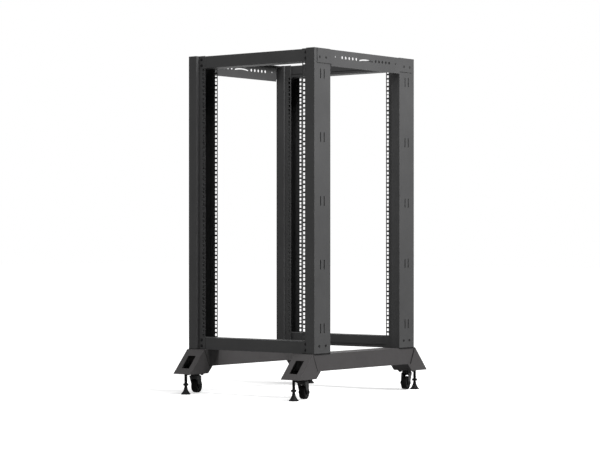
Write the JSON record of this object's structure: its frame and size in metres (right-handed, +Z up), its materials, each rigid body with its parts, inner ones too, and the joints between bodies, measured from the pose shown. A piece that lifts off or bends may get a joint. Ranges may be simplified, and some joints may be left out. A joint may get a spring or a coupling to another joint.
{
  "type": "four post open frame rack",
  "caption": "Open frame equipment rack with four folded posts, square mounting holes, top side rails, runners with splayed feet, swivel casters and levelling feet.",
  "frame": {"origin": "on the floor, under the middle of the frame", "axes": "+Z up; +X to the right seen from the front; -Y towards the front, where equipment goes in"},
  "size_m": [0.584, 0.77, 1.2268],
  "materials": {
    "frame_paint": "satin black powder coat with a fine texture",
    "base_paint": "satin black powder coat",
    "caster_steel": "black coated pressed steel",
    "wheel_rubber": "matte",
    "leveller_steel": "black zinc plated steel"
  },
  "bodies": {
    "root": {"post_front_left": "frame_paint", "post_front_right": "frame_paint", "post_rear_left": "frame_paint", "post_rear_right": "frame_paint", "top_rail_front": "frame_paint", "top_rail_rear": "frame_paint", "bottom_rail_front": "frame_paint", "bottom_rail_rear": "frame_paint", "top_side_rail_left": "frame_paint", "top_side_rail_right": "frame_paint", "base_runner_left": "base_paint", "base_runner_right": "base_paint", "foot_front_left": "base_paint", "foot_front_right": "base_paint", "foot_rear_left": "base_paint", "foot_rear_right": "base_paint", "caster_plate_front_left": "caster_steel", "caster_plate_front_right": "caster_steel", "caster_plate_rear_left": "caster_steel", "caster_plate_rear_right": "caster_steel"},
    "swivel_front_left": {"caster_fork_front_left": "caster_steel"},
    "swivel_front_right": {"caster_fork_front_right": "caster_steel"},
    "swivel_rear_left": {"caster_fork_rear_left": "caster_steel"},
    "swivel_rear_right": {"caster_fork_rear_right": "caster_steel"},
    "wheel_front_left": {"caster_wheel_front_left": "wheel_rubber"},
    "wheel_front_right": {"caster_wheel_front_right": "wheel_rubber"},
    "wheel_rear_left": {"caster_wheel_rear_left": "wheel_rubber"},
    "wheel_rear_right": {"caster_wheel_rear_right": "wheel_rubber"},
    "leveller_front_left": {"leveling_foot_front_left": "leveller_steel"},
    "leveller_front_right": {"leveling_foot_front_right": "leveller_steel"},
    "leveller_rear_left": {"leveling_foot_rear_left": "leveller_steel"},
    "leveller_rear_right": {"leveling_foot_rear_right": "leveller_steel"}
  },
  "joints": [
    {"name": "caster_swivel_front_left", "type": "hinge", "parent": "root", "child": "swivel_front_left", "pos_m": [-0.249, -0.312, 0.065], "axis": [0, 0, 1], "continuous": true},
    {"name": "wheel_spin_front_left", "type": "hinge", "parent": "swivel_front_left", "child": "wheel_front_left", "pos_m": [-0.25159, -0.30079, 0.028], "axis": [0.9744, 0.225, 0], "continuous": true},
    {"name": "leveller_screw_front_left", "type": "slide", "parent": "root", "child": "leveller_front_left", "axis": [0, 0, 1], "range_m": [-0.005, 0.005]},
    {"name": "caster_swivel_front_right", "type": "hinge", "parent": "root", "child": "swivel_front_right", "pos_m": [0.249, -0.312, 0.065], "axis": [0, 0, 1], "continuous": true},
    {"name": "wheel_spin_front_right", "type": "hinge", "parent": "swivel_front_right", "child": "wheel_front_right", "pos_m": [0.24564, -0.301, 0.028], "axis": [0.9563, 0.2924, 0], "continuous": true},
    {"name": "leveller_screw_front_right", "type": "slide", "parent": "root", "child": "leveller_front_right", "axis": [0, 0, 1], "range_m": [-0.005, 0.005]},
    {"name": "caster_swivel_rear_left", "type": "hinge", "parent": "root", "child": "swivel_rear_left", "pos_m": [-0.249, 0.312, 0.065], "axis": [0, 0, 1], "continuous": true},
    {"name": "wheel_spin_rear_left", "type": "hinge", "parent": "swivel_rear_left", "child": "wheel_rear_left", "pos_m": [-0.2506, 0.30061, 0.028], "axis": [-0.9903, 0.1392, 0], "continuous": true},
    {"name": "leveller_screw_rear_left", "type": "slide", "parent": "root", "child": "leveller_rear_left", "axis": [0, 0, 1], "range_m": [-0.005, 0.005]},
    {"name": "caster_swivel_rear_right", "type": "hinge", "parent": "root", "child": "swivel_rear_right", "pos_m": [0.249, 0.312, 0.065], "axis": [0, 0, 1], "continuous": true},
    {"name": "wheel_spin_rear_right", "type": "hinge", "parent": "swivel_rear_right", "child": "wheel_rear_right", "pos_m": [0.25198, 0.30089, 0.028], "axis": [-0.9659, -0.2588, 0], "continuous": true},
    {"name": "leveller_screw_rear_right", "type": "slide", "parent": "root", "child": "leveller_rear_right", "axis": [0, 0, 1], "range_m": [-0.005, 0.005]}
  ]
}
